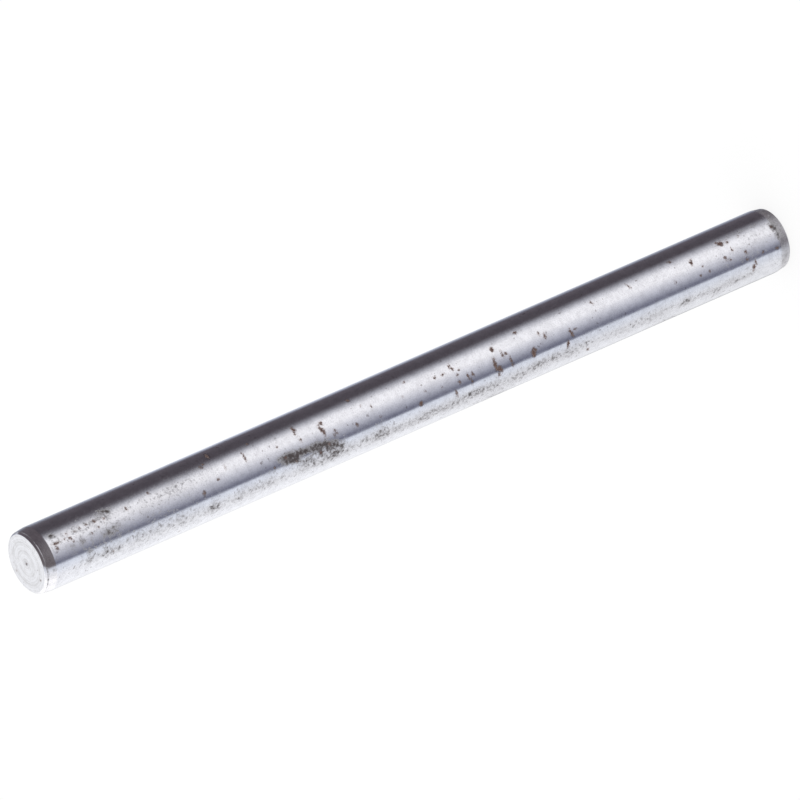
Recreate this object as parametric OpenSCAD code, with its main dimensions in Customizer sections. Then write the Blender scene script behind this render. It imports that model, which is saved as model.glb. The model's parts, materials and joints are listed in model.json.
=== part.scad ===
// A parallel dowel pin: one steel rod, ground straight and turned at both ends.
// It stands upright on its plain end, with the centre-marked end on top.

/* [Shank] */
// Diameter of the ground shank
pin_d = 8; // [6:0.5:16]
// Length over both end faces
pin_len = 110; // [60:1:160]

/* [Marked end, on top] */
// Length of the shallow lead-in cone, measured from the end face
top_lead_len = 1.5; // [0.8:0.1:3]
// How far the lead-in cone draws in from the shank's radius
top_lead_drop = 0.17; // [0.05:0.01:0.4]
// Height of the small broken edge round the end face
top_break_h = 0.27; // [0.1:0.01:0.5]
// Width of the small broken edge round the end face
top_break_w = 0.24; // [0.1:0.01:0.5]
// Diameter of the centre mark left by the lathe
mark_d = 0.44; // [0.2:0.02:1]
// Depth of the centre mark
mark_depth = 0.1; // [0.04:0.02:0.4]

/* [Plain end, underneath] */
// Length of the shallow lead-in cone, measured from the end face
foot_lead_len = 1.4; // [0.8:0.1:3]
// How far the lead-in cone draws in from the shank's radius
foot_lead_drop = 0.2; // [0.05:0.01:0.4]
// Height of the small broken edge round the end face
foot_break_h = 0.1; // [0.05:0.01:0.5]
// Width of the small broken edge round the end face
foot_break_w = 0.1; // [0.05:0.01:0.5]

/* [Hidden] */
pin_r = pin_d / 2;
$fn = 96;

// Half outline of one turned end as [radius, distance from the end face]:
// the rim of the flat face, the top of its broken edge, and the end of the lead-in cone.
function turned_end(lead_len, lead_drop, break_h, break_w) = [
    [pin_r - lead_drop - break_w, 0],
    [pin_r - lead_drop, break_h],
    [pin_r, lead_len],
];

// Half outline of the whole pin, up its side from the foot's centre to the centre mark.
function pin_outline() =
    let (
        foot = turned_end(foot_lead_len, foot_lead_drop, foot_break_h, foot_break_w),
        top = turned_end(top_lead_len, top_lead_drop, top_break_h, top_break_w)
    )
    concat(
        [[0, 0]],
        foot,
        [for (i = [len(top) - 1 : -1 : 0]) [top[i][0], pin_len - top[i][1]]],
        [[mark_d / 2, pin_len], [0, pin_len - mark_depth]]
    );

// The pin, turned as one solid about +Z
module dowel_pin() {
    color("gainsboro")
        rotate_extrude()
            polygon(pin_outline());
}

dowel_pin();
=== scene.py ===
# %% [markdown]
# # A worn dowel pin
# The real object is one steel rod: turned to length, given a shallow lead-in cone and a broken
# edge at each end, hardened, and ground to an exact diameter. It has no other pieces.
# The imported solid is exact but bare, so this lesson puts a finer skin in its place, worked out
# from the same outline, and gives that skin the finish of an old pin: fine grinding lines, faint
# lathe rings on the end faces, rust spots, and the grey bloom that damp storage leaves.

# %% Load the frame
import json
import math

import bpy
import numpy as np
from mathutils import Matrix, Vector


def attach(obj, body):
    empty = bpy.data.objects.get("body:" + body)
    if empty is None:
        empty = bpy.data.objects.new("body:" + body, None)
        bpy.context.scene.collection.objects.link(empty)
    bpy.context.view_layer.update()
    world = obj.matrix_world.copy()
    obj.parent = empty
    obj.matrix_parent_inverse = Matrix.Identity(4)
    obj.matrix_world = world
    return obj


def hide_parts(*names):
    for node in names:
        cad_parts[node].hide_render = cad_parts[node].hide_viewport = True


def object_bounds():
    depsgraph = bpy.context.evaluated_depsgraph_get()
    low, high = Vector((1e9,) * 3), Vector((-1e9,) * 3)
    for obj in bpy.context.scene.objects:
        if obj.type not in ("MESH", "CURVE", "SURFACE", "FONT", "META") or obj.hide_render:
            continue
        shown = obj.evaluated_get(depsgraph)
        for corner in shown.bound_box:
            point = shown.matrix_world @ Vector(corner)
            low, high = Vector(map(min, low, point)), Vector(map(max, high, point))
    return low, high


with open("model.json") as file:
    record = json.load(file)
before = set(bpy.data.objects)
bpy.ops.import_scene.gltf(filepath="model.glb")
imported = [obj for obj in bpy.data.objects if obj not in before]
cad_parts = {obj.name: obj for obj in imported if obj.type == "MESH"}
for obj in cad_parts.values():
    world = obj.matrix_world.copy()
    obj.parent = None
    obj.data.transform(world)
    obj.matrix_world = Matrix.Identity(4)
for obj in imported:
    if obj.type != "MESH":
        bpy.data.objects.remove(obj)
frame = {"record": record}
cad_low, cad_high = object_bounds()

MM = 0.001  # the frame is in metres, and the pin's details are written in millimetres
mounts = {mount["name"]: mount for mount in frame["record"]["mounts"]}
PIN_R = mounts["shank"]["dims"]["r_mm"]
PIN_LEN = (cad_high.z - cad_low.z) / MM
print(f"pin: {2 * PIN_R:.1f} mm across, {PIN_LEN:.1f} mm long")

# %% [markdown]
# ## The camera
# The pin stands on its plain end, so its marked end is on top. The picture was taken with a
# long lens from about 1.4 m, a third of a turn over, so that the pin runs from the lower left
# to the upper right. A camera could be aimed by eye, but the view is fixed by a few facts:
# the angle between the line of sight and the pin, the turn of the picture, and the place of
# the pin's middle in it. From these the camera's axes follow directly.

# %% Aim the camera
PICTURE_SIDE = 800  # pixels
PIN_MIDDLE_PX = (405.7, 397.8)  # pixel where the pin's middle shows
VIEW_ANGLE = math.radians(60.3)  # between the line of sight and the pin's axis
PICTURE_TURN = math.radians(113.62)  # anticlockwise turn of the picture
CAMERA_DISTANCE = 1.4  # metres
PIXELS_PER_MM = 8.5  # at the pin's middle
SENSOR = 36.0  # millimetres
CLIP_NEAR, CLIP_FAR = 0.1, 20  # metres


def put_in_scene(name, data):
    """A new object of that name in the scene, which holds a camera or a mesh."""
    thing = bpy.data.objects.new(name, data)
    bpy.context.scene.collection.objects.link(thing)
    return thing


def aim_camera():
    """The camera stands on the line that leans VIEW_ANGLE from +Z towards -Y, and looks back
    along it at the pin's middle. Its own right and up axes are turned by PICTURE_TURN about
    that line, and it is moved sideways so that the pin's middle shows at PIN_MIDDLE_PX."""
    middle = (cad_low + cad_high) / 2
    back = Vector((0, -math.sin(VIEW_ANGLE), math.cos(VIEW_ANGLE)))
    across = Vector((1, 0, 0))
    upward = back.cross(across)
    right = math.cos(PICTURE_TURN) * across - math.sin(PICTURE_TURN) * upward
    up = math.sin(PICTURE_TURN) * across + math.cos(PICTURE_TURN) * upward
    pixel = MM / PIXELS_PER_MM
    off_right = (PIN_MIDDLE_PX[0] - PICTURE_SIDE / 2) * pixel
    off_up = (PICTURE_SIDE / 2 - PIN_MIDDLE_PX[1]) * pixel
    place = middle + CAMERA_DISTANCE * back - off_right * right - off_up * up
    data = bpy.data.cameras.new("camera")
    data.sensor_width = SENSOR
    data.lens = SENSOR * PIXELS_PER_MM / MM * CAMERA_DISTANCE / PICTURE_SIDE
    data.clip_start, data.clip_end = CLIP_NEAR, CLIP_FAR
    camera = put_in_scene("camera", data)
    axes = Matrix((right, up, back)).transposed()
    camera.matrix_world = Matrix.Translation(place) @ axes.to_4x4()
    bpy.context.scene.camera = camera
    print(f"camera: lens {data.lens:.0f} mm, at {tuple(round(x, 3) for x in place)}")


aim_camera()

# %% [markdown]
# ## The outline
# A turned part is an outline spun about its axis. The CAD outline has sharp corners, which no
# real lathe leaves: light always catches a small rounding. Each corner is replaced by a short
# curve, and the straight runs between are cut into many short steps, because the rust pits and
# the lathe rings need points to stand on. The corners could be rounded by hand, one by one, but
# one list of corners and one rounding rule is easier to check against the drawing.

# %% Corners of the pin, as [radius, height] in millimetres
TOP_LEAD_LEN, TOP_LEAD_DROP = 1.5, 0.17
TOP_BREAK_H, TOP_BREAK_W = 0.27, 0.24
FOOT_LEAD_LEN, FOOT_LEAD_DROP = 1.4, 0.2
FOOT_BREAK_H, FOOT_BREAK_W = 0.1, 0.1
MARK_R, MARK_DEPTH = 0.22, 0.1
CURVE_POINTS = 5  # in each rounded corner, and down the side of the centre mark

TOP_FACE_R = PIN_R - TOP_LEAD_DROP - TOP_BREAK_W
FOOT_FACE_R = PIN_R - FOOT_LEAD_DROP - FOOT_BREAK_W
CORNERS = np.array([
    [FOOT_FACE_R, 0],
    [PIN_R - FOOT_LEAD_DROP, FOOT_BREAK_H],
    [PIN_R, FOOT_LEAD_LEN],
    [PIN_R, PIN_LEN - TOP_LEAD_LEN],
    [PIN_R - TOP_LEAD_DROP, PIN_LEN - TOP_BREAK_H],
    [TOP_FACE_R, PIN_LEN],
])


def rounded(before, corner, after, reach):
    """Points of the curve (1-t)^2 a + 2t(1-t) corner + t^2 b, where a and b lie at reach from
    the corner along its two sides."""
    a = corner + reach * (before - corner) / np.linalg.norm(before - corner)
    b = corner + reach * (after - corner) / np.linalg.norm(after - corner)
    t = np.linspace(0, 1, CURVE_POINTS)[:, None]
    return (1 - t) ** 2 * a + 2 * t * (1 - t) * corner + t**2 * b


def stepped(start, end, step, hold=0.02):
    """Points strictly between two ends: one held close to each end, so that the rounding
    doesn't bend the shading of the flat beside it, and even steps between those two."""
    length = np.linalg.norm(end - start)
    count = max(int(round((length - 2 * hold) / step)), 1)
    along = np.linspace(hold, length - hold, count + 1) / length
    return start + along[:, None] * (end - start)


# %% Run the outline from the foot's centre to the top's centre
ROUNDINGS = (0.04, 0.045, 0.3, 0.06, 0.06, 0.06)  # each corner's reach, from the foot's face up
STEP_ALONG = 0.18  # spacing of the rings up the shank
STEP_CONE = 0.12
STEP_FOOT_RING = 0.12
STEP_TOP_RING = 0.05  # seven rings to each groove of the lathe


def pin_outline():
    """The rounded outline as rows of [radius, height], without the two poles."""
    foot_in = np.array([STEP_FOOT_RING, 0])
    mark_rim = np.array([MARK_R, PIN_LEN])
    ends = np.vstack([foot_in, CORNERS, mark_rim])
    curves = [rounded(*ends[i:i + 3], reach) for i, reach in enumerate(ROUNDINGS)]
    runs = [STEP_CONE, STEP_CONE, STEP_ALONG, STEP_CONE, STEP_CONE]
    rows = [foot_in[None], stepped(foot_in, curves[0][0], STEP_FOOT_RING)]
    for i, curve in enumerate(curves):
        rows.append(curve)
        if i < len(runs):
            rows.append(stepped(curve[-1], curves[i + 1][0], runs[i]))
    rows.append(stepped(curves[-1][-1], mark_rim, STEP_TOP_RING))
    rows.append(mark_rim[None])
    bowl = np.linspace(1, 0, CURVE_POINTS)[1:-1]  # the centre mark is a shallow round-bottomed dimple
    rows.append(np.stack([MARK_R * bowl, PIN_LEN - MARK_DEPTH * (1 - bowl**2)], 1))
    return np.vstack(rows)


outline = pin_outline()
print(f"outline: {len(outline)} rings")

# %% [markdown]
# ## Where the marks are
# Old pins rust in spots, and each spot's edge is crisp and ragged. A spot could be painted, or
# drawn by noise alone, but noise never puts the spots where they really are. Here each spot is
# placed one by one, as an ellipse on the unrolled shank: millimetres from the marked end, degrees
# round from the side that faces the camera, its size along and round the pin, and its slant.
# The mesh then carries one number at each point, the distance in from the nearest spot's edge,
# and the material breaks that soft edge up with noise.

# %% Rust spots
# from the marked end, degrees round, mm along, mm round, slant in degrees
RUST = [
    (2.35, -2, 0.33, 0.37, 0), (2.6, -11.5, 0.85, 0.25, 0), (3.8, -11, 0.19, 0.19, 0),
    (4.3, -19, 0.22, 0.22, 0), (4.4, -11, 0.28, 0.28, 0), (4.5, -10, 0.2, 0.28, 0),
    (4.7, -3, 0.19, 0.2, 0), (5.5, -18, 0.28, 0.19, 0), (6.2, -20, 0.19, 0.23, 0),
    (7.2, -20, 0.28, 0.19, 0), (7.3, -3, 0.19, 0.19, 0), (8.3, -22, 0.2, 0.19, 0),
    (8.35, -20, 0.42, 0.28, 0), (8.4, -8, 0.2, 0.19, 0), (9.5, 42, 0.16, 0.2, 0),
    (9.6, -17, 0.23, 0.28, 0), (12.8, -17.5, 0.22, 0.32, 0), (16.4, -27, 0.19, 0.28, 0),
    (19.2, 66, 0.2, 0.12, 0), (23, 12, 0.4, 0.6, 10), (24.2, -32, 0.33, 0.47, 0),
    (24.7, -37, 0.23, 0.28, 0), (25.4, -1, 0.28, 0.28, 0), (26, -50, 0.45, 1, 15),
    (26.9, -15, 0.19, 0.33, 0), (29.8, -19, 0.28, 0.9, 0), (31.2, -38, 0.28, 0.28, 0),
    (33, 20, 0.2, 0.26, 0), (34.3, -11.5, 0.15, 0.3, 15), (34.8, 12, 0.33, 0.39, 0),
    (36.1, 26, 0.23, 0.29, 0), (37.2, -21, 0.19, 0.47, 0), (37.4, -32, 0.19, 0.37, 0),
    (37.4, -27, 0.41, 0.74, -10), (37.5, -6, 0.28, 0.47, 0), (39.6, 29, 0.23, 0.36, 0),
    (40.6, -9, 0.35, 0.9, -15), (40.8, 0, 0.22, 0.8, 10), (40.9, 20, 0.26, 0.29, 0),
    (41, -18, 0.35, 0.47, 0), (42, 10, 0.23, 0.37, 0), (42.3, 5, 0.28, 0.47, -20),
    (45.3, 9, 0.34, 0.43, 0), (45.8, -38, 0.43, 0.43, 0), (46.8, -18, 0.18, 0.18, 0),
    (48, -10, 0.17, 0.34, 20), (48.7, 12, 0.26, 0.17, 0), (52.4, -4, 0.18, 0.18, 0),
    (53.5, -26, 0.26, 0.26, 0), (54.5, 20, 0.55, 0.55, 20), (55.5, 2, 0.26, 0.21, 0),
    (57.4, -12, 0.34, 0.3, -30), (57.8, 8, 0.21, 0.26, 0), (58.6, -11, 0.39, 0.21, -10),
    (59.6, 29, 0.28, 0.74, -15), (59.9, -19, 0.18, 0.55, 15), (60.1, -13, 0.3, 0.34, 0),
    (60.3, 12, 0.34, 0.43, 0), (60.4, 0, 0.21, 0.21, 0), (60.8, -7, 0.24, 0.21, 0),
    (61.7, 9, 0.32, 0.55, 0), (62, 20, 0.17, 0.43, 0), (62.4, 9, 0.32, 0.51, -15),
    (65.7, 3, 0.3, 0.7, 0), (65.7, 10, 0.45, 1, 5), (65.9, 27, 0.2, 0.5, 0),
    (66.1, -17, 0.51, 0.6, 0), (66.1, 19, 0.85, 0.7, 0), (66.4, 25, 0.19, 0.47, 20),
    (67.1, -2, 0.22, 0.6, 0), (67.6, -1, 0.3, 0.28, 0), (68, 16, 0.25, 1.1, -10),
    (70.1, -28, 0.47, 0.33, 0), (71.2, 17.5, 0.58, 1, 0), (71.5, 13, 0.4, 0.6, -15),
    (72.8, -11, 0.23, 0.37, 0), (73.4, -2, 0.32, 0.55, 15), (76.2, 28, 0.4, 0.8, 10),
    (77, 12, 0.35, 0.9, -20), (77.6, 8, 0.37, 0.19, 0), (79.2, 58, 0.37, 0.47, 0),
    (81.3, -21, 0.26, 0.47, -20), (86.9, -22, 0.19, 0.47, -20), (92.9, 5, 0.19, 0.33, 0),
    (93.6, -34, 0.47, 0.28, 0), (96.1, -17, 0.4, 0.7, 10), (96.6, 11, 0.2, 0.2, 0),
    (97.3, -3, 0.2, 0.2, 0), (98, 10, 0.28, 0.2, 0), (100.6, -31, 0.28, 0.33, 0),
    (100.6, 0, 0.37, 0.33, 0), (100.7, 4, 0.2, 0.28, 0), (101, -27, 0.65, 0.7, 30),
    (101.2, 6, 0.2, 0.23, 0), (101.9, -25, 0.33, 0.47, 20), (102, -9, 0.2, 0.37, 0),
    (103.5, 17, 0.37, 0.28, 0), (103.6, 5, 0.28, 0.47, 0), (103.7, -27, 0.2, 0.23, 0),
    (104.2, 41, 0.19, 0.33, 0), (104.3, 36, 0.45, 0.6, 0), (104.6, 30, 0.3, 0.6, -15),
    (105.9, 17, 0.28, 0.28, 0), (108, 20, 0.37, 0.28, 0), (108.4, -18, 0.28, 0.37, 0),
]

# %% Grey bloom
# from the marked end, degrees round, mm along, mm round, density: from about 2 it is solid grey
BLOOM = [
    (0.31, 42, 0.12, 2.8, 4.5), (0.4, 33, 0.3, 0.4, 2.4), (1.2, 30, 0.4, 0.3, 3),
    (1.3, 30, 0.4, 0.3, 0.8), (2.25, -14, 0.3, 0.5, 1.36), (2.4, -28, 0.8, 0.45, 2.4),
    (2.7, -22.5, 0.7, 0.3, 1.7), (3.05, -16, 0.3, 0.7, 0.85), (3.65, -20, 0.35, 0.5, 0.68),
    (3.9, -15, 0.25, 0.3, 0.68), (4.4, 4, 0.6, 0.5, 0.8), (4.5, -22, 0.4, 0.3, 0.77),
    (5, 38, 0.52, 0.55, 0.52), (5.6, -21, 1, 0.7, 0.64), (5.75, 2, 0.6, 0.9, 1.1),
    (6, 43, 0.73, 0.55, 0.58), (6.2, -15, 0.5, 0.3, 0.59), (6.2, 37, 0.73, 0.66, 0.87),
    (6.3, 24, 0.9, 0.6, 0.8), (7, -22, 0.6, 0.5, 0.51), (7, 6, 9, 1.6, 0.35),
    (7.2, 38, 1.46, 0.77, 0.58), (8, -18, 5, 2.2, 0.45), (8.2, 41, 0.84, 0.66, 0.58),
    (8.3, -20, 1, 0.3, 0.94), (8.7, 37, 0.73, 0.88, 0.87), (9, 27, 6, 1.4, 0.4),
    (9.3, -21.5, 1.7, 0.3, 1.1), (9.3, 6, 0.9, 0.7, 1), (9.4, 41, 0.52, 0.66, 1.05),
    (9.6, -35, 0.4, 0.25, 1.2), (9.9, -30, 1.4, 0.7, 0.8), (10, -15, 0.6, 0.4, 0.77),
    (10, 9, 1.8, 0.5, 0.8), (10.1, -30, 1.5, 0.3, 1.2), (10.2, 44, 1.25, 0.66, 0.49),
    (10.4, 38, 0.73, 0.66, 0.86), (10.6, -25, 0.5, 0.35, 1.7), (10.6, 2, 0.8, 0.6, 0.9),
    (11.7, 33, 0.52, 0.66, 0.57), (13.3, 36, 1.38, 1.1, 0.45), (13.5, 44, 1.72, 0.83, 0.23),
    (14, 52, 6, 1.6, 0.16), (14.8, 34, 1.03, 0.96, 0.56), (16, 36, 0.8, 0.96, 0.39),
    (16.5, -14, 8, 2, 0.22), (16.5, -4, 9, 2.6, 0.22), (17.3, 42, 2.53, 1.1, 0.2),
    (18.8, 40, 2.53, 1.24, 0.19), (19, 29, 9, 1.4, 0.4), (19.2, 36, 1.03, 1.1, 0.33),
    (19.6, 44, 0.57, 0.83, 0.3), (20, -16, 3.5, 2.2, 0.15), (20.5, 53, 5, 1.4, 0.13),
    (20.8, 46, 0.8, 0.69, 0.35), (21, -18, 9, 2, 0.22), (21.5, 38, 1.72, 1.1, 0.22),
    (23.4, 43, 0.92, 0.83, 0.57), (24.2, 39, 1.38, 1.24, 0.64), (24.2, 45, 1.38, 0.83, 0.4),
    (25, 50, 4, 1.5, 0.25), (26.1, 35, 0.73, 0.55, 0.45), (27.6, 43, 1.5, 1, 0.8),
    (30, 40, 3, 1.2, 0.5), (32.3, 42, 1, 1, 0.69), (32.5, 25, 3, 0.5, 0.5),
    (33.6, 43, 0.7, 0.5, 0.41), (34.2, 37, 0.7, 0.8, 0.42), (34.6, -26, 1, 0.8, 0.5),
    (35, 10.5, 2.1, 1, 1.9), (35, 22, 1.8, 0.5, 0.72), (35.5, 19, 1.7, 0.8, 1.3),
    (36.2, 25, 0.8, 0.6, 1.25), (36.8, 14, 1.7, 0.8, 1.7), (37, 40, 2.4, 1.2, 0.3),
    (37.5, 30, 0.5, 0.4, 0.66), (37.6, 34, 2, 1.2, 0.75), (38.2, 14, 1.7, 0.8, 1.5),
    (38.5, 41, 0.4, 0.6, 0.66), (38.6, 26, 2, 0.7, 0.54), (39.3, 15, 1.3, 1.1, 1.4),
    (39.6, 28, 0.55, 0.7, 0.96), (40, 36, 2.2, 0.9, 0.25), (40.2, 47, 2, 0.8, 0.45),
    (40.4, 17, 1.7, 0.8, 1.3), (40.6, 27, 0.8, 0.5, 0.78), (41, 33, 3.6, 2, 0.68),
    (41.2, 22, 1.4, 0.8, 1.1), (41.7, 37, 0.8, 0.5, 0.5), (41.8, 45, 2.2, 0.9, 0.5),
    (41.9, 26, 1.1, 0.8, 1.17), (42.7, 35, 0.8, 0.7, 0.63), (42.9, 28, 0.7, 0.6, 0.46),
    (43.5, 43, 3.6, 1.3, 0.3), (46.1, 39, 1, 0.91, 0.74), (48.3, 41, 2.2, 1.95, 0.78),
    (48.5, 38, 1, 0.6, 0.4), (51, 48, 5, 1.12, 0.53), (55.2, 48, 2.6, 1.31, 0.64),
    (59, 43, 5, 0.94, 0.61), (59, 53.5, 3, 1, 0.35), (61.8, 39, 1.5, 0.5, 0.3),
    (62.6, 42, 2.6, 0.84, 0.8), (63.8, 74, 6.5, 2.8, 0.4), (64.8, 46, 2.4, 1.22, 0.6),
    (66, 84, 5, 1.8, 0.9), (68.5, 47, 2.6, 1.82, 0.5), (70, 58, 6, 1, 0.2),
    (71.4, 42, 3, 0.91, 0.76), (71.5, 40, 1.2, 0.5, 0.2), (73.5, 39, 3.5, 1.2, 0.4),
    (74.3, 43, 0.9, 1.17, 0.66), (76.4, 45, 2, 1.56, 0.64), (78.5, 41, 3, 1.4, 0.45),
    (83, 24.5, 1.5, 0.35, 0.35), (84, 47, 5, 1.43, 0.41), (89, 46, 5, 1.54, 0.57),
    (90.5, 77, 4.5, 2, 0.3), (92.5, 85, 5, 1.6, 0.9), (94, 46, 1.8, 0.99, 1.31),
    (95.5, 25, 2, 0.35, 0.45), (96.6, 46, 1.8, 0.66, 0.76), (98.6, 53, 1.4, 1.32, 1.02),
    (100.3, -24, 1, 0.5, 0.75), (101, 47, 2.4, 1.21, 0.76), (103.4, 48, 1.8, 0.88, 0.69),
    (103.5, -33, 3.5, 0.45, 0.75), (104, 6, 7, 2, 0.35), (106, -20, 5, 1.6, 0.3),
    (106.6, -34, 0.4, 0.3, 1), (107, -34, 3, 0.6, 0.35), (108.5, -16, 0.7, 0.9, 1.68),
    (108.6, 2, 0.6, 0.8, 1.13), (109.2, -6, 1.2, 1.4, 0.64), (109.3, -24, 1.3, 1.2, 0.77),
    (109.3, 34, 1.4, 1.6, 0.33), (109.3, 56, 1.3, 1.8, 0.5), (109.4, -50, 1.2, 2.2, 0.39),
    (109.4, 12, 1.3, 1.4, 0.25),
]

# %% [markdown]
# ### The side that the picture doesn't show
# The far side has aged as the rest has, but its marks can't be known one by one. There, and
# only there, they are scattered by a seeded random generator, which gives the same pin at every
# run.

# %% The same wear, scattered over the far side
HIDDEN_SPOTS, HIDDEN_BLOOMS = 70, 36
HIDDEN_FROM, HIDDEN_TO = 100, 260  # degrees round
HIDDEN_BELT, HIDDEN_BELT_SPREAD = 165, 14  # degrees round, for the blooms
SPOT_MARGIN, BLOOM_MARGIN = 2, 4  # millimetres kept free at each end of the pin
SPOT_LEAST, SPOT_MORE = 0.2, 0.5  # millimetres
SPOT_SHAPE, SPOT_SLANT = (0.8, 2.2), (-25, 25)  # its size round for its size along, and degrees
BLOOM_ALONG, BLOOM_ROUND, BLOOM_DENSE = (1, 5), (0.6, 1.6), (0.5, 1.0)
SEED = 8110
rng = np.random.default_rng(SEED)


def hidden_marks():
    """Random spots and blooms in the sizes of the seen ones. A random share, cubed, keeps most
    spots small, and the blooms keep to one belt along the pin. The columns are those of RUST
    and BLOOM."""
    size = SPOT_LEAST + SPOT_MORE * rng.random(HIDDEN_SPOTS) ** 3
    spots = np.stack([
        rng.uniform(SPOT_MARGIN, PIN_LEN - SPOT_MARGIN, HIDDEN_SPOTS),
        rng.uniform(HIDDEN_FROM, HIDDEN_TO, HIDDEN_SPOTS),
        size, size * rng.uniform(*SPOT_SHAPE, HIDDEN_SPOTS), rng.uniform(*SPOT_SLANT, HIDDEN_SPOTS),
    ], 1)
    blooms = np.stack([
        rng.uniform(BLOOM_MARGIN, PIN_LEN - BLOOM_MARGIN, HIDDEN_BLOOMS),
        rng.normal(HIDDEN_BELT, HIDDEN_BELT_SPREAD, HIDDEN_BLOOMS),
        rng.uniform(*BLOOM_ALONG, HIDDEN_BLOOMS), rng.uniform(*BLOOM_ROUND, HIDDEN_BLOOMS),
        rng.uniform(*BLOOM_DENSE, HIDDEN_BLOOMS),
    ], 1)
    return spots, blooms


hidden_rust, hidden_bloom = hidden_marks()
rust_spots = np.vstack([np.array(RUST, float), hidden_rust])
bloom_spots = np.vstack([np.array(BLOOM, float), hidden_bloom])
print(f"marks: {len(rust_spots)} rust spots, {len(bloom_spots)} patches of bloom")

# %% [markdown]
# ## The skin
# The outline is spun into one closed grid of rings. Every ring has the same number of points,
# the seam shares its points, and each end closes in a fan on one pole. The rust pits, and the
# lathe's rings on the marked face, could be left to the material. They are pressed into the
# grid itself, so that the plain mesh has them too.

# %% The two marks of every point
SPOT_BLUR = 0.03  # widens the smallest spots a little, so that each covers a point of the grid
HILL_FALL = 0.7  # how fast a patch of bloom thins out from its middle
BLOOM_MOST = 2.4  # the density that patches can add up to
BELT_ROUND, BELT_WIDTH, BELT_DENSITY = 47, 14, 0.48  # degrees, degrees, and a density
BELT_ALONG = (0, 4, 12, 26, 34, 70, 82, 110)  # from the marked end
BELT_SHARE = (0.2, 0.5, 0.7, 0.65, 1, 1, 0.6, 0.45)  # of BELT_DENSITY, at those places
FACE_SPOTS = [(-0.21, 2.90, 0.20), (-2.45, -1.57, 0.18), (0, 0, 0.10)]  # x, y, size
MIDDLE_STAIN, MIDDLE_STAIN_R = 1.4, 0.36  # the grey round the centre mark, and its reach
LEAD_BLOOM, LEAD_MARGIN = 0.5, 0.1  # the marked end's cone is cleaner, from just above its start
TINY = 1e-6


def across_shank(along, round_deg, spots):
    """Each point's place from each spot's centre, in millimetres along and round the pin."""
    turn = (round_deg[:, None] - spots[None, :, 1] + 180) % 360 - 180
    return along[:, None] - spots[None, :, 0], np.radians(turn) * PIN_R


def rust_inset(along, round_deg):
    """The distance in from the edge of the nearest spot, in millimetres, negative outside it:
    (1 - r) times the spot's smaller half size, where r is the distance from its centre in
    units of the ellipse."""
    dx, dy = across_shank(along, round_deg, rust_spots)
    half_x = np.hypot(rust_spots[:, 2] / 2, SPOT_BLUR)
    half_y = np.hypot(rust_spots[:, 3] / 2, SPOT_BLUR)
    slant = np.radians(rust_spots[:, 4])
    turned_x = dx * np.cos(slant) + dy * np.sin(slant)
    turned_y = dy * np.cos(slant) - dx * np.sin(slant)
    r = np.hypot(turned_x / half_x, turned_y / half_y)
    return ((1 - r) * np.minimum(half_x, half_y)).max(1).clip(-1, 1)


def bloom_density(along, round_deg):
    """The sum of soft round hills, each density times exp(-HILL_FALL r^2), on a faint belt that
    runs the length of the pin, as if it had lain on something damp."""
    dx, dy = across_shank(along, round_deg, bloom_spots)
    r2 = (dx / (bloom_spots[:, 2] / 2)) ** 2 + (dy / (bloom_spots[:, 3] / 2)) ** 2
    hills = (bloom_spots[:, 4] * np.exp(-HILL_FALL * r2)).sum(1)
    from_belt = (round_deg - BELT_ROUND + 180) % 360 - 180
    belt = BELT_DENSITY * np.interp(along, BELT_ALONG, BELT_SHARE)
    return (hills + belt * np.exp(-(from_belt / BELT_WIDTH) ** 2)).clip(0, BLOOM_MOST)


def face_inset(x, y):
    """The distance in from the edge of the nearest spot on the marked end's face."""
    return np.max([size / 2 - np.hypot(x - at_x, y - at_y) for at_x, at_y, size in FACE_SPOTS], 0)


def up_the_side(height):
    """Whether a point is on the shank or a cone, and not on an end face or its broken edge."""
    return (height > FOOT_BREAK_H) & (height < PIN_LEN - TOP_BREAK_H)


def wear_marks(radius, height, theta):
    """How far in each point lies from the edge of a rust spot, and how dense the bloom is. The
    side reads the two tables, and the marked face has its own few spots and a grey middle."""
    along, round_deg = PIN_LEN - height.ravel(), -90 - np.degrees(theta.ravel())
    inset = rust_inset(along, round_deg).reshape(radius.shape)
    bloom = bloom_density(along, round_deg).reshape(radius.shape)
    on_side = up_the_side(height)
    on_face = height > PIN_LEN - MARK_DEPTH - TINY
    on_lead = height > PIN_LEN - TOP_LEAD_LEN + LEAD_MARGIN
    face = face_inset(radius * np.cos(theta), radius * np.sin(theta))
    inset = np.where(on_side, inset, np.where(on_face & (radius < TOP_FACE_R), face, -1))
    middle = MIDDLE_STAIN * np.exp(-(radius / MIDDLE_STAIN_R) ** 2) * on_face
    bloom = np.where(on_side, bloom * np.where(on_lead, LEAD_BLOOM, 1), middle)
    return inset, bloom


# %% Press the pits and grooves into the grid
PIT_DEPTH, PIT_SLOPE = 0.018, 0.15  # a rust pit's depth, reached this far in from its edge
BLOOM_DEPTH, BLOOM_BITES = 0.003, 0.5  # where the bloom is denser than this, it eats in
GROOVE_PITCH, GROOVE_DEPTH = 0.35, 0.004  # the lathe's rings on the marked face
PLAIN_INNER, PLAIN_OUTER = 0.05, 0.1  # left without grooves, beside the mark and at the rim


def pressed_in(radius, height, inset, bloom):
    """The pits go in towards the axis, and the grooves go down into the marked face, as a
    cosine of the distance from the axis."""
    pit = PIT_DEPTH * np.clip(inset / PIT_SLOPE, 0, 1)
    pit = pit + BLOOM_DEPTH * np.clip(bloom - BLOOM_BITES, 0, 1)
    grooved = (radius < TOP_FACE_R - PLAIN_OUTER) & (radius > MARK_R + PLAIN_INNER)
    grooved = grooved & (height > PIN_LEN - TINY)
    groove = GROOVE_DEPTH * (0.5 - 0.5 * np.cos(2 * np.pi * radius / GROOVE_PITCH))
    return radius - np.where(up_the_side(height), pit, 0), height - np.where(grooved, groove, 0)


# %% Work out the grid
AROUND = 128  # points in each ring


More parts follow.
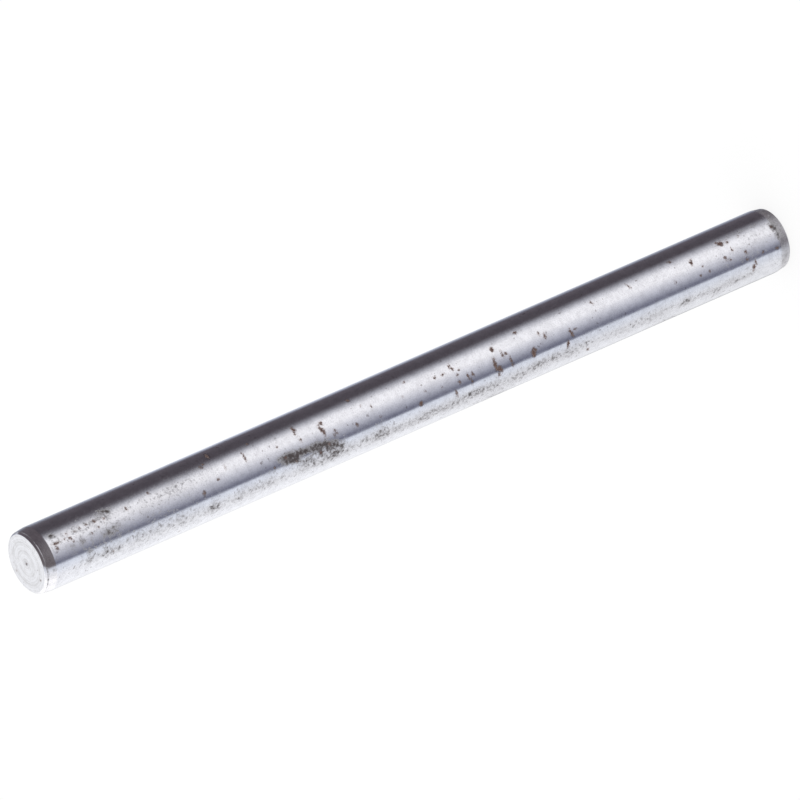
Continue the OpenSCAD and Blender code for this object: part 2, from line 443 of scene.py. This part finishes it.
def skin_points():
    """The rings as an array of points, with the pole of the foot first and the pole of the
    top last, and the two marks of every point."""
    turn = np.arange(AROUND) / AROUND * 2 * np.pi
    radius = np.repeat(outline[:, :1], AROUND, 1)
    height = np.repeat(outline[:, 1:], AROUND, 1)
    theta = np.broadcast_to(turn, radius.shape)
    inset, bloom = wear_marks(radius, height, theta)
    radius, height = pressed_in(radius, height, inset, bloom)
    ring = np.stack([radius * np.cos(theta), radius * np.sin(theta), height], -1)
    poles = np.array([[0, 0, 0], [0, 0, PIN_LEN - MARK_DEPTH]])
    points = np.vstack([poles[:1], ring.reshape(-1, 3), poles[1:]]) * MM
    marks = [np.concatenate([[m[0, 0]], m.ravel(), [m[-1, 0]]]) for m in (inset, bloom)]
    return points, marks


def skin_faces(rings):
    """Four-sided faces between neighbouring rings, wound to face outwards, and the fans of
    triangles at the two poles."""
    first = 1 + np.arange(rings)[:, None] * AROUND
    here = np.arange(AROUND)[None]
    after = (here + 1) % AROUND
    a, b = first[:-1] + here, first[:-1] + after
    c, d = first[1:] + after, first[1:] + here
    quads = np.stack([a, b, c, d], -1).reshape(-1, 4)
    foot_fan = np.stack([np.zeros(AROUND, int), 1 + after[0], 1 + here[0]], 1)
    top, last = 1 + rings * AROUND, first[-1, 0]
    top_fan = np.stack([np.full(AROUND, top), last + here[0], last + after[0]], 1)
    return quads, foot_fan, top_fan


# %% Put the grid into a mesh
def make_skin(name):
    """One smooth-shaded mesh of the grid, which carries the two marks at its points."""
    points, (inset, bloom) = skin_points()
    quads, foot_fan, top_fan = skin_faces(len(outline))
    mesh = bpy.data.meshes.new(name)
    mesh.from_pydata(points.tolist(), [], quads.tolist() + foot_fan.tolist() + top_fan.tolist())
    mesh.polygons.foreach_set("use_smooth", np.ones(len(mesh.polygons), bool))
    for label, values in (("rust_inset", inset), ("bloom", bloom)):
        mesh.attributes.new(label, "FLOAT", "POINT").data.foreach_set("value", values)
    mesh.update()
    triangles = 2 * len(quads) + len(foot_fan) + len(top_fan)
    print(f"{name}: {len(points)} points, {triangles} triangles")
    return put_in_scene(name, mesh)


pin = make_skin("worn_dowel_pin")
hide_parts("dowel_pin")
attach(pin, "root")

# %% [markdown]
# ## Small helpers for materials
# A procedural material is a sum written as boxes and wires. These helpers add one box each and
# take numbers or other boxes' outputs, so that a pattern reads as a formula in the code.

# %% Node helpers
def box(tree, kind, inputs=None, output=0, **settings):
    """Adds one shader node. inputs maps a socket's name or number to a value or an output."""
    node = tree.nodes.new("ShaderNode" + kind)
    for key, value in settings.items():
        setattr(node, key, value)
    for key, value in (inputs or {}).items():
        if isinstance(value, bpy.types.NodeSocket):
            tree.links.new(value, node.inputs[key])
        else:
            node.inputs[key].default_value = value
    return node.outputs[output]


def calc(tree, operation, a, b=0.0, c=0.0):
    """One sum: a and b, or a, b and c, joined by the operation."""
    return box(tree, "Math", {0: a, 1: b, 2: c}, operation=operation)


def product(tree, first, *others):
    """All the values multiplied together."""
    for other in others:
        first = calc(tree, "MULTIPLY", first, other)
    return first


def between(tree, value, low, high, out_low=0.0, out_high=1.0):
    """value carried from low..high to out_low..out_high along a smooth S curve, held at both
    ends."""
    inputs = {"Value": value, "From Min": low, "From Max": high, "To Min": out_low, "To Max": out_high}
    return box(tree, "MapRange", inputs, interpolation_type="SMOOTHSTEP")


def ramps(tree, value, *each):
    """Several such curves over one value, multiplied together."""
    return product(tree, *(between(tree, value, *ramp) for ramp in each))


def mix_colour(tree, share, a, b):
    """Colour a where share is 0, colour b where it is 1. The mix node keeps its colours in its
    sockets 6 and 7, and gives the mixed one from its output 2."""
    return box(tree, "Mix", {0: share, 6: a, 7: b}, output=2, data_type="RGBA")


def own_place(tree):
    """A point's place on the piece itself, in metres."""
    return box(tree, "TexCoord", output=3)


def noise(tree, scale, detail=3.0, rough=0.55, distortion=0.0, stretch=(1, 1, 1)):
    """Smooth noise from 0 to 1 on the piece's own coordinates, scale cycles a millimetre,
    stretched by making one axis count for less."""
    per_mm = tuple(s * scale / MM for s in stretch)
    inputs = {"Vector": box(tree, "Mapping", {"Vector": own_place(tree), "Scale": per_mm})}
    inputs |= {"Scale": 1.0, "Detail": detail, "Roughness": rough, "Distortion": distortion}
    return box(tree, "TexNoise", inputs)


def mark(tree, name):
    """A number that the mesh carries at each point."""
    return box(tree, "Attribute", output=2, attribute_name=name)


# %% [markdown]
# ## Worn ground steel
# Ground steel is bright because it mirrors its surroundings, and the stone leaves hair lines
# round the pin. Rust is the opposite: rough, brown and not a metal at all. The grey bloom lies
# between them. Each could be a material of its own, but they fade into one another within a
# tenth of a millimetre. So one set of masks drives colour, metal and roughness, and lowers the
# surface a little.

# %% Colours
STEEL = (0.84, 0.845, 0.87, 1)
STEEL_DULL = (0.66, 0.66, 0.685, 1)
STEEL_HAZED = (0.50, 0.49, 0.50, 1)
BLOOM_GREY = (0.375, 0.368, 0.386, 1)
BLOOM_DARK = (0.078, 0.065, 0.064, 1)
RUST_STAIN = (0.44, 0.385, 0.37, 1)
RUST_DARK = (0.104, 0.062, 0.054, 1)
RUST_LIGHT = (0.19, 0.123, 0.107, 1)
DOT_BROWN = (0.16, 0.125, 0.115, 1)

# %% The noises that break the wear up
# cycles a millimetre, layers of finer noise, how strong those are, and the twist
GRAIN = (6.0, 3.0, 0.6)  # the finest unevenness of the metal
MOTTLE = (1.3, 2.0, 0.5)  # blotches of about a millimetre
CLOUD = (0.35, 3.0, 0.55)  # slow change over several millimetres
SPECK = (2.5, 5.0, 0.68, 0.3)  # what the bloom breaks up into
RAGGED = (3.6, 5.0, 0.72)  # the torn edge of a rust spot
DIRT = (1.9, 1.0, 0.4)  # where single dots of dirt sit

# %% Rust and bloom, from the marks and the noises
RAGGED_BY = 0.8  # millimetres that the noise moves a spot's edge in or out, in all
BLOOM_LIFT = 0.185  # how much the density of the bloom raises its specks
DIRT_CLOUD = 0.22  # how strongly the slow cloud gathers the dots
DIRT_DOTS = (0.835, 0.91, 0.0, 0.5)  # peaks that show, up to half covered


def rust_edge(tree):
    """The distance in from a rust spot's edge, with the mesh's soft oval made ragged by noise."""
    moved = calc(tree, "MULTIPLY_ADD", noise(tree, *RAGGED), RAGGED_BY, -RAGGED_BY / 2)
    return calc(tree, "ADD", mark(tree, "rust_inset"), moved)


def bloom_cover(tree, speck):
    """Fine noise, raised where the mesh says the bloom is dense. What lies above a fixed level
    is covered, so the bloom thins out into separate specks."""
    return calc(tree, "MULTIPLY_ADD", mark(tree, "bloom"), BLOOM_LIFT, speck)


def pinpoints(tree, cloud):
    """Single dots of dirt: the few peaks of a coarse noise that pass a high level, more of them
    where the slow cloud is high."""
    peaks = calc(tree, "MULTIPLY_ADD", cloud, DIRT_CLOUD, noise(tree, *DIRT))
    return between(tree, peaks, *DIRT_DOTS)


# %% One set of masks
RUST_SOLID = (0.0, 0.08)  # millimetres in from the ragged edge
BLOOM_SOLID = (0.56, 0.89)  # levels of the raised specks
BLOOM_STARTS = (0.0, 0.15)  # densities: below them nothing shows, however high the noise
HAZE = (0.0, 1.0, 0.0, 0.38)  # a thin even grey under the specks


def wear_masks(tree, lines):
    """Each pattern that the finish is made of, from 0 to 1, and the rust's edge in millimetres."""
    masks = {"tool": lines(tree), "grain": noise(tree, *GRAIN), "cloud": noise(tree, *CLOUD)}
    masks |= {"mottle": noise(tree, *MOTTLE), "speck": noise(tree, *SPECK), "edge": rust_edge(tree)}
    masks["cover"] = bloom_cover(tree, masks["speck"])
    masks["rust"] = between(tree, masks["edge"], *RUST_SOLID)
    specks = between(tree, masks["cover"], *BLOOM_SOLID)
    masks["bloom"] = product(tree, specks, between(tree, mark(tree, "bloom"), *BLOOM_STARTS))
    masks["haze"] = between(tree, mark(tree, "bloom"), *HAZE)
    return masks


# %% The colour, laid on in coats
GRAIN_SHARE, MOTTLE_SHARE = 0.5, 0.4  # how much each darkens the metal
DULL_BASE = 0.05
METAL_DULLS = (0.36, 0.70)  # levels of their sum, from bright metal to dull
STAIN_RING = (-0.18, 0.0, 0.0, 0.5)  # millimetres outside the rust, up to half covered
BLOOM_DARKENS = (0.58, 1.0)
RUST_COAT = (-0.09, 0.10)
DEEP_SPECK, DEEP_START = 0.5, 0.25  # the rust is darkest well inside, where the specks are high
RUST_DEEPENS = (-0.04, 0.14)


def wear_colour(tree, masks, bright, dull, line_stain):
    """Coats of colour, each laid over the last: metal between bright and dull, haze, the stain
    round the rust, the bloom, the rust, and the dots of dirt."""
    lines = calc(tree, "SUBTRACT", 0.5, masks["tool"])
    grain = calc(tree, "MULTIPLY_ADD", masks["grain"], GRAIN_SHARE, DULL_BASE)
    worn = calc(tree, "MULTIPLY_ADD", lines, line_stain, grain)
    worn = calc(tree, "MULTIPLY_ADD", masks["mottle"], MOTTLE_SHARE, worn)
    colour = mix_colour(tree, between(tree, worn, *METAL_DULLS), bright, dull)
    colour = mix_colour(tree, masks["haze"], colour, STEEL_HAZED)
    colour = mix_colour(tree, between(tree, masks["edge"], *STAIN_RING), colour, RUST_STAIN)
    greys = mix_colour(tree, between(tree, masks["cover"], *BLOOM_DARKENS), BLOOM_GREY, BLOOM_DARK)
    colour = mix_colour(tree, masks["bloom"], colour, greys)
    depth = calc(tree, "SUBTRACT", masks["edge"], DEEP_START)
    depth = calc(tree, "MULTIPLY_ADD", masks["speck"], DEEP_SPECK, depth)
    browns = mix_colour(tree, between(tree, depth, *RUST_DEEPENS), RUST_LIGHT, RUST_DARK)
    colour = mix_colour(tree, between(tree, masks["edge"], *RUST_COAT), colour, browns)
    return mix_colour(tree, pinpoints(tree, masks["cloud"]), colour, DOT_BROWN)


# %% Metal, roughness and height
BLOOM_UNMETAL = 0.6  # the bloom is still partly metal, and rust isn't at all
ROUGH_CLOUD = (0.3, 0.7)  # levels of the slow cloud
BLOOM_ROUGH, RUST_ROUGH = 0.30, 0.85
GRAIN_HEIGHT, BLOOM_HEIGHT, RUST_HEIGHT = 0.002, -0.003, -0.006  # millimetres


def wear_metal(tree, masks):
    """1 for bare steel, and less by the larger of the rust and a share of the bloom."""
    covered = calc(tree, "MAXIMUM", masks["rust"], product(tree, masks["bloom"], BLOOM_UNMETAL))
    return calc(tree, "SUBTRACT", 1.0, covered)


def wear_roughness(tree, masks, smoothest, roughest):
    """Bare steel between its two roughnesses by the slow cloud, more under bloom, and never
    less than the rust's own."""
    bare = between(tree, masks["cloud"], *ROUGH_CLOUD, smoothest, roughest)
    bloomed = calc(tree, "MULTIPLY_ADD", masks["bloom"], BLOOM_ROUGH, bare)
    return calc(tree, "MAXIMUM", bloomed, product(tree, masks["rust"], RUST_ROUGH))


def wear_normal(tree, masks, line_height):
    """The surface's tilt, from the sum of the tool's lines, the grain and the eaten-in wear."""
    height = product(tree, masks["tool"], line_height)
    height = calc(tree, "MULTIPLY_ADD", masks["grain"], GRAIN_HEIGHT, height)
    height = calc(tree, "MULTIPLY_ADD", masks["bloom"], BLOOM_HEIGHT, height)
    height = calc(tree, "MULTIPLY_ADD", masks["rust"], RUST_HEIGHT, height)
    return box(tree, "Bump", {"Height": height, "Distance": MM, "Strength": 1.0})


# %% The steel itself
def worn_steel(name, metals, roughs, lines, line_height, line_stain):
    """Steel with tool lines, bloom and rust. metals are its bright and its dull colour, and
    roughs its lowest and highest roughness. lines makes the tool's marks, from 0 to 1,
    line_height is how deep they are in millimetres, and line_stain is how much they darken."""
    material = bpy.data.materials.new(name)
    material.use_nodes = True
    tree = material.node_tree
    shader = tree.nodes["Principled BSDF"]
    masks = wear_masks(tree, lines)
    looks = {
        "Base Color": wear_colour(tree, masks, *metals, line_stain),
        "Metallic": wear_metal(tree, masks),
        "Roughness": wear_roughness(tree, masks, *roughs),
        "Normal": wear_normal(tree, masks, line_height),
    }
    for socket, value in looks.items():
        tree.links.new(value, shader.inputs[socket])
    return material


# %% [markdown]
# ### Tool marks
# The grinding wheel leaves hair lines round the shank, and the lathe leaves coarser ones on the
# cones and rings on the faces. They could all be modelled, but hair lines are far finer than
# the mesh. Noise that is stretched round the pin gives them at any distance, and only the rings
# of the marked face are in the mesh as well.

# %% Tool marks
# each pattern of lines is written as the noises above are, then how far it is stretched in X, Y, Z
GROUND_LINES = (9.0, 2.0, 0.6, 0.0, (0.03, 0.03, 1))
TURNED_LINES = (5.0, 3.0, 0.7, 0.0, (0.09, 0.09, 1))
WIDE_PITCH, WIDE_SHARE = 1.1, 1.2  # slower rings, left by the chatter of the tool
FINE_START, WIDE_START = 0.8, 2.2  # radians, where each set of rings starts at the axis
PATCHES = (0.7, 3.0)  # the noise that weakens the rings
RINGS_FADE = (0.35, 0.65, 0.08, 0.4)


def ground_lines(tree):
    """Hair lines round the pin: noise that changes fast along the pin and slowly across it."""
    return noise(tree, *GROUND_LINES)


def turned_lines(tree):
    """Coarser lines, as a lathe leaves on the cones."""
    return noise(tree, *TURNED_LINES)


def facing_rings(tree):
    """Rings on the end faces: a sine of the distance from the axis, at the pitch of the grooves
    in the mesh, with slower rings added, and weakened here and there by noise."""
    flat = box(tree, "Mapping", {"Vector": own_place(tree), "Scale": (1 / MM, 1 / MM, 0)})
    radius = box(tree, "VectorMath", {0: flat}, output=1, operation="LENGTH")
    fine = calc(tree, "MULTIPLY_ADD", radius, 2 * math.pi / GROOVE_PITCH, FINE_START)
    wide = calc(tree, "MULTIPLY_ADD", radius, 2 * math.pi / WIDE_PITCH, WIDE_START)
    fine, wide = calc(tree, "SINE", fine), calc(tree, "SINE", wide)
    wave = calc(tree, "MULTIPLY_ADD", wide, WIDE_SHARE, fine)
    strength = between(tree, noise(tree, *PATCHES), *RINGS_FADE)
    return calc(tree, "MULTIPLY_ADD", wave, strength, 0.5)


# %% The four finishes of the pin
CONE_METALS = ((0.90, 0.885, 0.89, 1), (0.70, 0.69, 0.70, 1))
DULL_CONE_METALS = ((0.90, 0.89, 0.90, 1), (0.50, 0.49, 0.50, 1))
FACE_METALS = ((0.785, 0.785, 0.795, 1), (0.62, 0.613, 0.61, 1))

ground = worn_steel("ground_steel", (STEEL, STEEL_DULL), (0.12, 0.18), ground_lines, 0.0006, 0.1)
bright_cone = worn_steel("turned_cone", CONE_METALS, (0.14, 0.20), turned_lines, 0.0012, 0.25)
dull_cone = worn_steel("dulled_cone", DULL_CONE_METALS, (0.30, 0.38), turned_lines, 0.0008, 0.2)
faces = worn_steel("faced_ends", FACE_METALS, (0.26, 0.34), facing_rings, 0.001, 0.25)
for material in (ground, bright_cone, dull_cone, faces):
    pin.data.materials.append(material)

# %% Which finish each face of the mesh has
SHANK, TOP_CONE, FOOT_CONE, FOOT_FACE, TOP_FACE = range(5)


def read_each(items, label, width, kind):
    """What the points, faces or corners of a mesh hold under a label, as one flat array."""
    values = np.zeros(width * len(items), kind)
    items.foreach_get(label, values)
    return values


def places_of(items, label):
    """The places of the points or faces of a mesh, as rows of x, y, z in millimetres."""
    return (read_each(items, label, 3, float) / MM).reshape(-1, 3)


def zones(piece):
    """Which part of the pin each face of the mesh belongs to. The broken edges go with their
    cones, and the dimple goes with the marked end's face."""
    x, y, height = places_of(piece.data.polygons, "center").T
    radius = np.hypot(x, y)
    on_foot_face = (height < FOOT_BREAK_H) & (radius < FOOT_FACE_R)
    on_top_face = (height > PIN_LEN - TOP_BREAK_H) & (radius < TOP_FACE_R)
    on_foot_cone = height < FOOT_LEAD_LEN
    on_top_cone = height > PIN_LEN - TOP_LEAD_LEN
    tests = [on_foot_face, on_top_face, on_foot_cone, on_top_cone]
    return np.select(tests, [FOOT_FACE, TOP_FACE, FOOT_CONE, TOP_CONE], SHANK)


pin_zones = zones(pin)
# both end faces share the fourth finish
pin.data.polygons.foreach_set("material_index", np.minimum(pin_zones, FOOT_FACE))
print("faces of each zone:", np.bincount(pin_zones))

# %% [markdown]
# ## Laying the skin flat
# A reusable part also needs a flat map of its skin, for its colours to be kept in. A turned part
# unrolls with hardly any stretch: the side is cut into four equal lengths, two by two, and the
# two end faces are discs in the strip that is left over.

# %% Lay the map
MAP_SIDE = 61.0  # millimetres of skin across the square map
STRIPS = 4
MAP_GAP = 0.7  # between neighbouring patches


def lay_map(piece, part_of):
    """Gives every corner of every face its place on the map. On the side that is the height
    within its strip, and the distance round the pin. The corner's own face decides its strip
    and its turn, so that nothing is stretched back across the seam."""
    mesh = piece.data
    corner = places_of(mesh.vertices, "co")[read_each(mesh.loops, "vertex_index", 1, int)]
    total = read_each(mesh.polygons, "loop_total", 1, int)
    centre = np.repeat(places_of(mesh.polygons, "center"), total, 0)
    part = np.repeat(part_of, total)

    strip_len, girth = PIN_LEN / STRIPS, 2 * math.pi * PIN_R
    middle = np.arctan2(centre[:, 1], centre[:, 0]) % (2 * math.pi)
    turn = np.arctan2(corner[:, 1], corner[:, 0])
    turn = middle + (turn - middle + math.pi) % (2 * math.pi) - math.pi
    strip = np.clip(centre[:, 2] // strip_len, 0, STRIPS - 1)
    u = corner[:, 2] - strip * strip_len + (strip % 2) * (strip_len + MAP_GAP)
    v = turn / (2 * math.pi) * girth + (strip // 2) * (girth + MAP_GAP)
    disc_v = 2 * (girth + MAP_GAP) + PIN_R
    on_end = part >= FOOT_FACE
    u = np.where(on_end, corner[:, 0] + PIN_R + (part == TOP_FACE) * (2 * PIN_R + MAP_GAP), u)
    v = np.where(on_end, corner[:, 1] + disc_v, v)
    places = np.stack([u, v], 1) / MAP_SIDE + MAP_GAP / MAP_SIDE
    mesh.uv_layers.new(name="OFBake").data.foreach_set("uv", places.ravel())
    print("map runs from", places.min(0).round(3), "to", places.max(0).round(3))


lay_map(pin, pin_zones)

# %% [markdown]
# ## The studio
# The real pin lay on a white table under one soft lamp, and nearly all of its look is that
# room mirrored in a cylinder. The room could be built from lamps and cards, but the part stands
# on its end here, so they would have to hang in the air all round it. Instead the world gives
# mirror rays the room as it stood round the lying pin, turned with it, and gives all other rays
# plain white, so that colours render as written.

# %% Colours of the room
LAMP_LIGHT = (1.11, 1.10, 1.125, 1)
LAMP_EDGE = (1.06, 1.085, 1.22, 1)
SIDE_LIGHT = (0.42, 0.43, 0.47, 1)
DARK_ROOM = (0.088, 0.077, 0.091, 1)
NEAR_WALL = (0.188, 0.195, 0.262, 1)
END_WALL = (0.138, 0.122, 0.132, 1)
DARK_END = (0.105, 0.090, 0.105, 1)
DARK_EDGE = (0.132, 0.116, 0.137, 1)
FOOT_WALL = (0.180, 0.165, 0.180, 1)
TABLE_BELOW = (1.112, 1.118, 1.148, 1)
TABLE_AWAY = (0.875, 0.92, 1.03, 1)
FAR_TABLE = (0.70, 0.74, 0.88, 1)
PALE_END = (0.85, 0.85, 0.87, 1)
PLAIN_WHITE = (1, 1, 1, 1)

# %% [markdown]
# ### Where things are in the room
# A mirror ray leaves the pin with an angle round it and a share along it. The angle is 0 at the
# table's near edge, 90 straight up, 180 at the table's far edge, and below 0 on the table. The
# share is negative towards the plain end. In the picture it is about -0.46 where the shank
# starts at the marked end, -0.52 where it ends, -0.3 on the marked end's cone and -0.7 on the
# plain end's. So the room is written as ramps over these two numbers. A ramp is where it
# starts and ends, and then its two values, which are 0 and 1 if left out.

# %% The lamps
LAMP_NEAR = (5.5, 62.5)  # degrees: the main lamp brightens evenly across its near half
LAMP_FAR_START = 81.0  # degrees: from here it fades, to the degrees of the next ramp
LAMP_FAR_END = (-0.495, -0.464, 131.0, 112.5)
LAMP_MARKED_END = (-0.43, -0.34, 1.0, 0.0)  # it stops short of the marked end's cone
LAMP_PLAIN_END = (-0.77, -0.58, 0.10, 1.0)
BACK_STARTS, BACK_STOPS = (-0.16, -0.06), (0.44, 0.56, 1.0, 0.0)  # its part behind the marked end
BACK_NARROWS, BACK_LOW = (0.40, 0.48, 1.0, 0.0), (55.0, 85.0, 1.0, 0.0)  # share, then degrees
BACK_LIGHT = 0.5
SIDE_STARTS, SIDE_STOPS = (108.0, 148.0), (148.0, 180.0, 1.0, 0.0)  # degrees
SIDE_END_STARTS, SIDE_END_STOPS = (-0.25, -0.05), (0.10, 0.25, 1.0, 0.0)


def room_lamps(tree, angle, axial):
    """How much of the main lamp and of the side light each direction sees. The main lamp ends
    short of the marked end, which keeps the cone there dark, and starts again behind it."""
    near = box(tree, "MapRange", {"Value": angle, "From Min": LAMP_NEAR[0], "From Max": LAMP_NEAR[1]})
    far = between(tree, angle, LAMP_FAR_START, between(tree, axial, *LAMP_FAR_END), 1.0, 0.0)
    front = ramps(tree, axial, LAMP_MARKED_END, LAMP_PLAIN_END)
    back = ramps(tree, axial, BACK_STARTS, BACK_STOPS)
    narrow = calc(tree, "MAXIMUM", between(tree, axial, *BACK_NARROWS), between(tree, angle, *BACK_LOW))
    back = product(tree, back, narrow, BACK_LIGHT)
    main = product(tree, near, far, calc(tree, "MAXIMUM", front, back))
    side = ramps(tree, angle, SIDE_STARTS, SIDE_STOPS)
    return main, product(tree, side, ramps(tree, axial, SIDE_END_STARTS, SIDE_END_STOPS))


# %% The table
TABLE_BLUES = (-0.75, 0.05)  # share towards the room's up: from well below to the table's edges
DIM_PLAIN_END, DIM_FOOT_CONE = (-0.535, -0.485, 0.80, 1.0), (-0.72, -0.56, 0.70, 1.0)
SHADE_DEPTH = (-0.526, -0.495, 0.15, 0.68)  # light left in the pin's own shade
SHADE_FROM, SHADE_TO = -139.0, -102.0  # degrees
SHADE_ENDS = (-0.3, 0.1)  # there is none beyond the marked end
GLOW_MARKED_END = (-0.44, -0.28)  # there the table is brighter below, and darker by its near edge
GLOW_FROM, GLOW_AMOUNT = (-125.0, -100.0), (-60.0, -20.0, 0.10, -0.13)  # degrees
FAR_STARTS = (-190.0, -146.0)  # degrees: past the shade, the table's far side
FAR_FOOT, FAR_DIM = (-0.66, -0.54, 0.45, 1.0), (-0.525, -0.480, 0.70, 1.0)
FAR_NEAR_END = (-0.478, -0.464, 1.08, 0.62)
LIT_SIDE, LIT_END = (-142.0, -124.0), (-0.2, 0.3)


def scaled(tree, colour, light):
    """A colour made lighter or darker."""
    return box(tree, "VectorMath", {0: colour, "Scale": light}, operation="SCALE")


def white_table(tree, angle, rise, axial):
    """The table: white below the pin and bluer towards its edges, dimmer under the plain end
    and in the pin's own shade, and on the side away from the lamp greyer still."""
    table = mix_colour(tree, between(tree, rise, *TABLE_BLUES), TABLE_BELOW, TABLE_AWAY)
    depth = between(tree, axial, *SHADE_DEPTH)
    shade = between(tree, angle, SHADE_FROM, SHADE_TO, depth, 1.0)
    shade = calc(tree, "MAXIMUM", shade, between(tree, axial, *SHADE_ENDS))
    dimmed = product(tree, ramps(tree, axial, DIM_PLAIN_END, DIM_FOOT_CONE), shade)
    glow = ramps(tree, angle, GLOW_FROM, GLOW_AMOUNT)
    glow = product(tree, between(tree, axial, *GLOW_MARKED_END), glow)
    table = scaled(tree, table, calc(tree, "ADD", dimmed, glow))
    away = mix_colour(tree, between(tree, angle, *FAR_STARTS), DARK_ROOM, FAR_TABLE)
    dimmed = ramps(tree, axial, FAR_FOOT, FAR_DIM, FAR_NEAR_END)
    lit = calc(tree, "MAXIMUM", between(tree, angle, *LIT_SIDE), between(tree, axial, *LIT_END))
    return mix_colour(tree, lit, scaled(tree, away, dimmed), table)


# %% The walls and the ceiling
WALL_TO_END = (-0.44, -0.36)
WALL_TO_CEILING = (20.0, 100.0)  # degrees
CEILING_TO_FAR_WALL = (140.0, 185.0)  # degrees
WALL_AT_FOOT = (-0.64, -0.56, 1.0, 0.0)


def walls(tree, angle, axial):
    """The near wall below, the dark ceiling above and the far wall beyond, with other greys
    opposite each end of the pin."""
    to_end = between(tree, axial, *WALL_TO_END)
    low = mix_colour(tree, to_end, NEAR_WALL, END_WALL)
    high = mix_colour(tree, to_end, DARK_ROOM, DARK_END)
    wall = mix_colour(tree, between(tree, angle, *WALL_TO_CEILING), low, high)
    wall = mix_colour(tree, between(tree, angle, *CEILING_TO_FAR_WALL), wall, DARK_EDGE)
    return mix_colour(tree, between(tree, axial, *WALL_AT_FOOT), wall, FOOT_WALL)


# %% The whole room, for mirror rays only
ROOM_TURN = math.radians(43.5)  # the room's up, round the pin from the camera's side
TABLE_LEVEL = (-0.50, -0.47, -0.035, 0.045)  # how high the table's edge shows, by place along
TABLE_SOFT = -0.1  # the edge starts to blur here
END_ON = (0.89, 0.97)  # rays that leave nearly along the pin see a pale end of the room


def mirrored_room(tree):
    """The room as a function of the mirror ray's direction: rise is its share towards the
    room's up, near is its share towards the camera's side, axial is its share along the pin,
    and angle is the direction round the pin."""
    ray = box(tree, "TexCoord", output=0)
    up_axis = (math.cos(ROOM_TURN), -math.sin(ROOM_TURN), 0)
    near_axis = (-math.sin(ROOM_TURN), -math.cos(ROOM_TURN), 0)
    rise = box(tree, "VectorMath", {0: ray, 1: up_axis}, output=1, operation="DOT_PRODUCT")
    near = box(tree, "VectorMath", {0: ray, 1: near_axis}, output=1, operation="DOT_PRODUCT")
    axial = box(tree, "SeparateXYZ", {0: ray}, output=2)
    angle = calc(tree, "DEGREES", calc(tree, "ARCTAN2", rise, near))

    main, side = room_lamps(tree, angle, axial)
    lamp = mix_colour(tree, main, LAMP_EDGE, LAMP_LIGHT)
    room = mix_colour(tree, main, walls(tree, angle, axial), lamp)
    room = mix_colour(tree, side, room, SIDE_LIGHT)
    above = between(tree, rise, TABLE_SOFT, between(tree, axial, *TABLE_LEVEL))
    room = mix_colour(tree, above, white_table(tree, angle, rise, axial), room)
    along = calc(tree, "ABSOLUTE", axial)
    return mix_colour(tree, between(tree, along, *END_ON), room, PALE_END)


def room_world():
    """Mirror rays see the room, and all other rays see plain white."""
    world = bpy.data.worlds.new("studio")
    bpy.context.scene.world = world
    world.use_nodes = True
    tree = world.node_tree
    tree.nodes.clear()
    is_mirror_ray = tree.nodes.new("ShaderNodeLightPath").outputs["Is Glossy Ray"]
    colour = mix_colour(tree, is_mirror_ray, PLAIN_WHITE, mirrored_room(tree))
    background = box(tree, "Background", {"Color": colour, "Strength": 1.0})
    output = tree.nodes.new("ShaderNodeOutputWorld")
    tree.links.new(background, output.inputs["Surface"])
    print(f"studio: {len(tree.nodes)} nodes")


room_world()

# %% [markdown]
# ### The floor
# The picture's background is white right up to the pin. A plain white floor would turn grey in
# the pin's shadow, so this one mostly glows by itself, and keeps only a weak shadow. The steel
# doesn't mirror it, because the room above already holds the table.

# %% The floor
FLOOR_SIDE = 3.0  # metres
FLOOR_DROP = 0.00003  # metres below the pin's foot
FLOOR_GREY, FLOOR_GLOW = 0.23, 0.79


def lay_floor():
    """One square under the pin. It is see-through from below, so that the foot can be looked
    at."""
    half = FLOOR_SIDE / 2
    corners = [(half * x, half * y, -FLOOR_DROP) for x, y in ((-1, -1), (1, -1), (1, 1), (-1, 1))]
    mesh = bpy.data.meshes.new("floor")
    mesh.from_pydata(corners, [], [(0, 1, 2, 3)])
    floor = put_in_scene("floor", mesh)
    floor.visible_glossy = False
    material = bpy.data.materials.new("pale_floor")
    material.use_nodes = True
    tree = material.node_tree
    tree.nodes.clear()
    matt = box(tree, "BsdfDiffuse", {"Color": (FLOOR_GREY, FLOOR_GREY, FLOOR_GREY, 1)})
    glow = box(tree, "Emission", {"Color": PLAIN_WHITE, "Strength": FLOOR_GLOW})
    lit = box(tree, "AddShader", {0: matt, 1: glow})
    below = box(tree, "NewGeometry", output="Backfacing")
    shown = box(tree, "MixShader", {0: below, 1: lit, 2: box(tree, "BsdfTransparent")})
    output = tree.nodes.new("ShaderNodeOutputMaterial")
    tree.links.new(shown, output.inputs["Surface"])
    mesh.materials.append(material)


lay_floor()
bpy.context.scene.view_settings.view_transform = "Standard"

# %% Sizes, and the end
print("cad box ", [round(x / MM, 3) for x in (*cad_low, *cad_high)])
